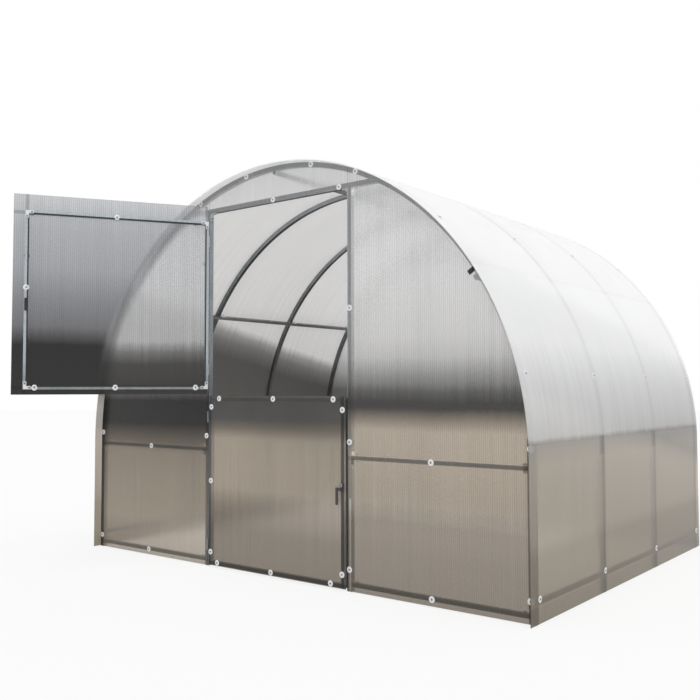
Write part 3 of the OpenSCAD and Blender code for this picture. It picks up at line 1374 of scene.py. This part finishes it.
@dataclass
class PurlinClip:
    """Black clip that holds the end of a purlin to the front bow."""

    angle: float = 34.3
    radius: float = 1.465
    size: Triple = (0.034, 0.022, 0.005)
    boss: float = 0.004
    tongue: float = 0.009

    def build(self, shop: Workshop) -> None:
        """Model the clip's base, draw its tongue out and seat it on the gable.

        Args:
            shop: Shared finishes.
        """
        clip = Bench.block(self.size)
        Bench.pick_top()
        bpy.ops.mesh.inset(thickness=0.004)
        Bench.push(0.0, 0.0, self.boss, (0.8, 0.7, 1.0))
        Bench.pick(lambda face: face.normal.x > 0.9)
        bpy.ops.mesh.inset(thickness=0.0012)
        Bench.push(self.tongue, 0.0, 0.0, (1.0, 0.6, 0.8))
        Bench.ease_edges(0.0007, 2)
        Bench.close()
        clip.data.materials.append(shop.dark)
        cos, sin = math.cos(math.radians(self.angle)), math.sin(math.radians(self.angle))
        upright = Matrix(((cos, -sin, 0.0), (0.0, 0.0, -1.0), (sin, cos, 0.0))).to_4x4()
        x, z = on_arch(self.angle, self.radius)
        seat = Matrix.Translation((x, -GABLE_PLANE - SHEET - self.size[2] / 2, z))
        Bench.move(clip, "purlin_clip", seat @ upright)
        Bench.smooth(clip, 40.0)
        Bench.seat(clip, Body.BUILDING, Slot.DARK)


@dataclass
class DoorLeaf:
    """One half of the split door, drawn closed and swung to its place at rest."""

    body: Body
    swing: float
    frame_low: float
    frame_high: float
    hardware: str
    half: float = 0.488
    proud: float = 0.01
    hinge: Pair = (-0.494, -1.1365)
    plate_t: float = 0.002
    bolt_near: float = 0.008
    bolt_far: float = 0.031
    washers: tuple[Pair, ...] = ()
    room_washers: tuple[Pair, ...] = ()

    def sheet(self) -> SheetFinish:
        """Finish of the leaf's sheet."""
        raise NotImplementedError

    @property
    def room_face(self) -> float:
        """Place of the frame's room side along Y, closed."""
        return RAIL - self.proud - GABLE_PLANE

    def turn(self) -> Matrix:
        """Turn about the hinges from closed to the place at rest."""
        pivot = Matrix.Translation((*self.hinge, 0.0))
        return pivot @ Matrix.Rotation(-self.swing, 4, "Z") @ pivot.inverted()

    def _swung(self, place: Triple, facing: float) -> Spot:
        """Seat of a fixing once the leaf stands at rest.

        Args:
            place: Its place on the closed leaf.
            facing: Way that it faces along Y, -1 or 1.

        Returns:
            The seat.
        """
        turn = self.turn()
        return Spot(tuple(turn @ Vector(place)), tuple(turn.to_3x3() @ Vector((0.0, facing, 0.0))))

    def washer_spots(self) -> list[Spot]:
        """Seats of the washers: on the leaf's sheet, and where a screw goes through the frame.

        Returns:
            The seats.
        """
        outside = self.room_face - RAIL - SHEET
        spots = [self._swung((x, outside, z), -1.0) for x, z in self.washers]
        return spots + [self._swung((x, self.room_face, z), 1.0) for x, z in self.room_washers]

    def bolt_spots(self) -> list[Spot]:
        """Seats of the bolts in the corner plates, on the room side.

        Returns:
            The seats.
        """
        y = self.room_face + self.plate_t
        low, high = self.frame_low + self.plate_t, self.frame_high - self.plate_t
        spots = []
        for side in SIDES:
            x = side * (self.half - self.plate_t)
            for z, way in ((low, 1.0), (high, -1.0)):
                for along, up in ((self.bolt_far, self.bolt_near), (self.bolt_near, self.bolt_far)):
                    spots.append(self._swung((x - side * along, y, z + way * up), 1.0))
        return spots

    def build(self, shop: Workshop) -> None:
        """Give the leaf's nodes their finish, screw the sheet on and bolt the corner plates.

        Args:
            shop: Shared finishes and fasteners.
        """
        name = self.body.value
        shop.dress(shop.tube, *(f"{name}_{part}" for part in ("stiles", "rails", "hinges")))
        shop.dress(shop.plate, f"{name}_brackets")
        shop.dress(shop.dark, f"{name}_{self.hardware}")
        shop.dress(self.sheet().material(), f"{name}_sheet")
        shop.washer.scatter(f"{name}_washers", self.body, self.washer_spots(), None)
        shop.bolt.scatter(f"{name}_bolts", self.body, self.bolt_spots(), Slot.PLATE)
        LeafStrip(self).build(shop)


@dataclass
class LowerLeaf(DoorLeaf):
    """The lower half of the door, closed."""

    body: Body = Body.LOWER_LEAF
    swing: float = 0.0
    frame_low: float = 0.013
    frame_high: float = 0.945
    hardware: str = "handle"
    washers: tuple[Pair, ...] = (
        (-0.405, 0.938), (0.008, 0.938), (0.42, 0.938), (0.479, 0.886), (0.475, 0.079),
        (-0.467, 0.891), (-0.468, 0.478), (-0.468, 0.083),
        (-0.414, 0.027), (-0.006, 0.027), (0.402, 0.027),
    )

    def sheet(self) -> SheetFinish:
        """Finish of the leaf's sheet, with painted shade lines where its frame lies against it.

        Returns:
            The finish.
        """
        frame = (
            Shade(ACROSS, -0.478, 0.01, 0.4),
            Shade(ACROSS, 0.478, 0.01, 0.5),
            Shade(UP, 0.023, 0.01, 0.5),
        )
        return gable_sheet("lower leaf sheet", 0.78, 0.17, (0.42, 0.46, 0.68, 0.94, 0.86), frame)


@dataclass
class UpperLeaf(DoorLeaf):
    """The upper half of the door, swung open."""

    body: Body = Body.UPPER_LEAF
    swing: float = UPPER_LEAF_SWING
    frame_low: float = 0.99
    frame_high: float = 1.9425
    hardware: str = "latch"
    washers: tuple[Pair, ...] = (
        (0.447, 1.0), (0.018, 1.0), (-0.417, 1.0), (0.455, 1.9325), (0.018, 1.9325),
        (-0.417, 1.9325), (0.478, 1.25), (0.478, 1.7), (-0.466, 1.25), (-0.466, 1.7),
    )
    room_washers: tuple[Pair, ...] = (
        (0.43, 1.0), (0.018, 1.0), (-0.417, 1.0), (0.018, 1.9325), (0.478, 1.53),
    )

    def sheet(self) -> SheetFinish:
        """Finish of the leaf's sheet: darker and cooler towards its free edge and paler at the hinges,
        painted for the dark surroundings and the white gable seen through it.

        Returns:
            The finish, with painted shade lines where the frame lies against the sheet.
        """
        milk = 0.22
        return SheetFinish(
            "upper leaf sheet", Flutes.OPEN_LEAF,
            (
                (0.96, (0.10, 0.097, 0.093), milk),
                (1.13, (0.11, 0.108, 0.104), milk),
                (1.20, (0.30, 0.298, 0.296), milk),
                (1.26, (0.64, 0.64, 0.64), milk),
                (1.60, (0.67, 0.676, 0.684), milk),
                (2.05, (0.67, 0.678, 0.69), milk),
            ),
            # far tones: painted dark surroundings seen through the free half of the leaf
            far_tones=(
                (0.96, (0.026, 0.025, 0.024), milk),
                (1.23, (0.022, 0.021, 0.022), milk),
                (1.28, (0.09, 0.09, 0.095), milk),
                (1.33, (0.17, 0.17, 0.18), milk),
                (1.48, (0.24, 0.245, 0.26), milk),
                (1.64, (0.35, 0.358, 0.375), milk),
                (1.85, (0.41, 0.42, 0.436), milk),
                (2.02, (0.54, 0.55, 0.565), milk),
            ),
            shades=(
                *(Shade(Flutes.OPEN_LEAF.value, at, 0.009, 0.3) for at in (1.2416, 2.1976)),
                *(Shade(UP, z, 0.009, 0.3) for z in (1.0, 1.9325)),
            ),
            waver=0.03, rib_depth=0.2, streak_depth=0.24, glow=0.4, roughness=0.12,
        )


@dataclass
class LeafStrip:
    """Dark edge strip along the inner edges of a leaf's frame, on the room side."""

    leaf: DoorLeaf
    width: float = 0.0065
    thick: float = 0.0016

    def build(self, shop: Workshop) -> None:
        """Cut the strip out of a plane, give it thickness and lay it on the frame.

        Args:
            shop: Shared finishes.
        """
        leaf = self.leaf
        inset = RAIL - self.width
        low, high = leaf.frame_low + inset, leaf.frame_high - inset
        strip = Bench.plane(2.0 * (leaf.half - inset), high - low)
        bpy.ops.mesh.inset(thickness=self.width)
        bpy.ops.mesh.delete(type="FACE")
        bpy.ops.mesh.select_all(action="SELECT")
        Bench.push(0.0, 0.0, self.thick)
        Bench.close()
        strip.data.materials.append(shop.dark)
        seat = Matrix.Translation((0.0, leaf.room_face, (low + high) / 2))
        upright = Matrix(((-1.0, 0.0, 0.0), (0.0, 0.0, 1.0), (0.0, 1.0, 0.0))).to_4x4()
        Bench.move(strip, f"{leaf.body.value}_strip", leaf.turn() @ seat @ upright)
        Bench.seat(strip, leaf.body, Slot.DARK)


@dataclass
class JambSeal:
    """Dark lip on the latch post that closes the slit beside the lower leaf."""

    post: float = 0.5
    low: float = 0.0005
    high: float = 0.945
    foot: float = 0.002
    depth: float = 0.005
    set_back: float = 0.003
    reach: float = 0.006

    def build(self, shop: Workshop) -> None:
        """Model the foot of the lip on the post and draw the lip out of it.

        Args:
            shop: Shared finishes.
        """
        middle = (self.post - self.foot / 2, self.set_back - GABLE_PLANE, (self.low + self.high) / 2)
        seal = Bench.block((self.foot, self.depth, self.high - self.low), middle)
        Bench.pick(lambda face: face.normal.x < -0.9)
        bpy.ops.mesh.inset(thickness=0.0008)
        Bench.push(self.foot - self.reach, 0.0, 0.0, (1.0, 0.6, 1.0))
        Bench.close()
        seal.data.materials.append(shop.dark)
        seal.name = seal.data.name = "jamb_seal"
        Bench.seat(seal, Body.BUILDING, Slot.DARK)


@dataclass
class LeverHandle:
    """Flat bent lever on a pressed base, in front of the lower leaf's free stile."""

    place: Triple = (0.478, -1.1365, 0.497)
    base_size: Triple = (0.020, 0.046, 0.003)
    base_up: float = 0.008
    bolt_up: float = 0.019
    arm: float = 0.023
    grip: float = 0.078
    bar: float = 0.015
    bar_t: float = 0.006
    rise: float = 0.013

    def _base(self) -> bpy.types.Object:
        """Model the pressed base with its raised boss.

        Returns:
            The base.
        """
        step = 0.0012
        base = Bench.block(self.base_size, (0.0, self.base_up, self.base_size[2] / 2))
        Bench.pick_top()
        bpy.ops.mesh.inset(thickness=0.0015)
        Bench.push(0.0, 0.0, step)
        bpy.ops.mesh.inset(thickness=0.0012)
        Bench.push(0.0, 0.0, self.rise - self.base_size[2] - step, (0.92, 0.92, 1.0))
        Bench.ease_edges(0.0005, 1)
        Bench.close()
        return base

    def _lever(self) -> bpy.types.Object:
        """Model the bar that runs sideways from the boss and turns down into the grip.

        Returns:
            The lever.
        """
        middle = (-self.arm, 0.0, self.rise + self.bar_t / 2)
        lever = Bench.block((self.bar, self.bar, self.bar_t), middle)
        Bench.pick(lambda face: face.normal.x > 0.9)
        Bench.push(self.arm, 0.0, 0.0)
        Bench.pick(lambda face: face.normal.y < -0.9 and face.calc_center_median().x < -self.arm / 2)
        Bench.push(0.0, -0.8 * self.grip, 0.0)
        Bench.push(0.0, self.bar / 2 - 0.2 * self.grip, 0.0, (0.72, 1.0, 0.8))
        Bench.ease_edges(0.0012, 2)
        Bench.close()
        return lever

    def build(self, shop: Workshop) -> None:
        """Join base and lever, seat them on the leaf and bolt them.

        Args:
            shop: Shared finishes and fasteners.
        """
        name = "lever_handle"
        handle = Bench.join([self._base(), self._lever()], name)
        handle.data.materials.append(shop.lever)
        upright = Matrix(((1.0, 0.0, 0.0), (0.0, 0.0, -1.0), (0.0, 1.0, 0.0))).to_4x4()
        Bench.move(handle, name, Matrix.Translation(self.place) @ upright)
        Bench.smooth(handle, 35.0)
        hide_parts("lower_leaf_handle")
        Bench.seat(handle, Body.LOWER_LEAF, Slot.DARK)
        x, y, z = self.place
        spot = Spot((x, y - self.rise, z + self.bolt_up), (0.0, -1.0, 0.0))
        shop.bolt.scatter("handle_bolt", Body.LOWER_LEAF, [spot], Slot.PLATE)


@dataclass
class Studio:
    """Pale floor, white surroundings, soft light and the camera."""

    camera_place: Triple = (3.107, -4.4125, 0.985)
    camera_turn: Triple = (0.667, 0.0471, -0.0018)
    lens: float = 43.55
    ambient: float = 0.62
    sun: float = 1.08
    sun_spread: float = 50.0
    sun_way: Triple = (-0.35, 0.42, -1.0)
    floor_radius: float = 40.0
    floor_z: float = -0.002
    floor_lift: float = 0.8

    @staticmethod
    def _seen(shader: Shader) -> Value:
        """One where a surface is looked at straight, in a reflection or through glass.

        Args:
            shader: Shader that asks.

        Returns:
            The value, 1 or 0.
        """
        camera = shader.node("ShaderNodeLightPath", output="Is Camera Ray")
        outputs = camera.socket.node.outputs
        glossy = Value(shader, outputs["Is Glossy Ray"])
        through = Value(shader, outputs["Is Transmission Ray"])
        return camera.larger(glossy).larger(through)

    def set_floor(self) -> None:
        """Lay the floor: mostly plain white where it is seen, with a pale share that takes the shadow."""
        Bench.clear()
        middle = (0.0, 0.0, self.floor_z)
        bpy.ops.mesh.primitive_circle_add(
            vertices=96, radius=self.floor_radius, fill_type="NGON", location=middle
        )
        floor = bpy.context.object
        floor.name = "studio_floor"
        bpy.ops.object.transform_apply(location=True)
        shader = Shader.of_material("studio floor")
        pale = shader.node("ShaderNodeBsdfDiffuse", inputs={"Color": (0.96, 0.96, 0.96)})
        white = shader.node("ShaderNodeEmission", inputs={"Color": (1.0, 1.0, 1.0), "Strength": 1.0})
        share = self._seen(shader) * self.floor_lift
        mixed = shader.node("ShaderNodeMixShader", inputs={0: share, 1: pale, 2: white})
        floor.data.materials.append(shader.finished(mixed))

    def set_world(self) -> None:
        """White surroundings that light the part at a plain level."""
        world = bpy.data.worlds.new("studio surroundings")
        bpy.context.scene.world = world
        shader = Shader(world)
        seen = self._seen(shader)
        level = seen + (1.0 - seen) * self.ambient
        sky = shader.node("ShaderNodeBackground", inputs={"Color": (1.0, 1.0, 1.0), "Strength": level})
        shader.node("ShaderNodeOutputWorld", inputs={"Surface": sky})

    def set_lights(self) -> None:
        """One wide soft light from above the right shoulder."""
        lamp = bpy.data.lights.new("soft key", "SUN")
        lamp.energy = self.sun
        lamp.angle = math.radians(self.sun_spread)
        key = bpy.data.objects.new("soft key", lamp)
        key.rotation_euler = Vector(self.sun_way).to_track_quat("-Z", "Y").to_euler()
        bpy.context.scene.collection.objects.link(key)

    def set_camera(self) -> None:
        """Stand the camera where the photograph was taken from."""
        lens = bpy.data.cameras.new("camera")
        lens.lens = self.lens
        lens.sensor_width = 36.0
        camera = bpy.data.objects.new("camera", lens)
        heading, tilt, roll = self.camera_turn
        camera.matrix_world = (
            Matrix.Translation(self.camera_place)
            @ Matrix.Rotation(heading, 4, "Z")
            @ Matrix.Rotation(math.pi / 2 + tilt, 4, "X")
            @ Matrix.Rotation(roll, 4, "Z")
        )
        bpy.context.scene.collection.objects.link(camera)
        bpy.context.scene.camera = camera

    def build(self) -> None:
        """Set the whole studio up."""
        scene = bpy.context.scene
        scene.view_settings.view_transform = "Standard"
        scene.cycles.transparent_max_bounces = 32
        self.set_camera()
        self.set_world()
        self.set_lights()
        self.set_floor()


def main() -> None:
    """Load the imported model, set up the studio and build the assemblies in order."""
    logging.basicConfig(level=logging.INFO, format="%(message)s")
    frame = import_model()
    Studio().build()
    shop = Workshop(frame["nodes"])
    for assembly in (
        BowFrame(), Cover(), FrontGable(), RearGable(), PurlinClip(),
        LowerLeaf(), JambSeal(), LeverHandle(), UpperLeaf(),
    ):
        assembly.build(shop)
        LOG.info("%s is built", type(assembly).__name__)
    shop.put_away()


if __name__ == "__main__":
    main()
